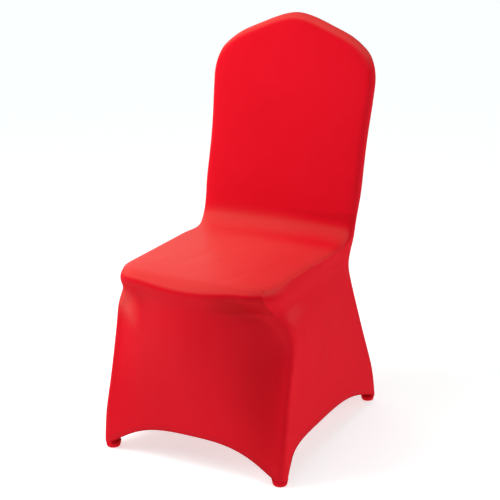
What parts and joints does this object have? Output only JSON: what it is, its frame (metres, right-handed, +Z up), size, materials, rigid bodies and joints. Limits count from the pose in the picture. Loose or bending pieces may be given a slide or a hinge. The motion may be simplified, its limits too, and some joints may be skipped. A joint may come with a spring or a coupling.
{
  "type": "fitted stretch chair cover",
  "caption": "Hollow fitted cover of stretch knit for an arched-back chair, with a skirt that arches up between its foot pockets.",
  "frame": {"origin": "on the floor, under the middle of the cover's bounding box", "axes": "+X to the sitter's left, the picture's right; +Y to the rear of the chair; +Z up"},
  "size_m": [0.4604, 0.586, 0.9359],
  "materials": {
    "knit": "smooth stretch knit with a soft sheen, plain red"
  },
  "bodies": {
    "root": {"front_panel": "knit", "back_panel": "knit", "side_panel_right": "knit", "side_panel_left": "knit", "foot_pocket_front_left": "knit", "foot_pocket_front_right": "knit", "foot_pocket_rear_left": "knit", "foot_pocket_rear_right": "knit"}
  },
  "joints": []
}
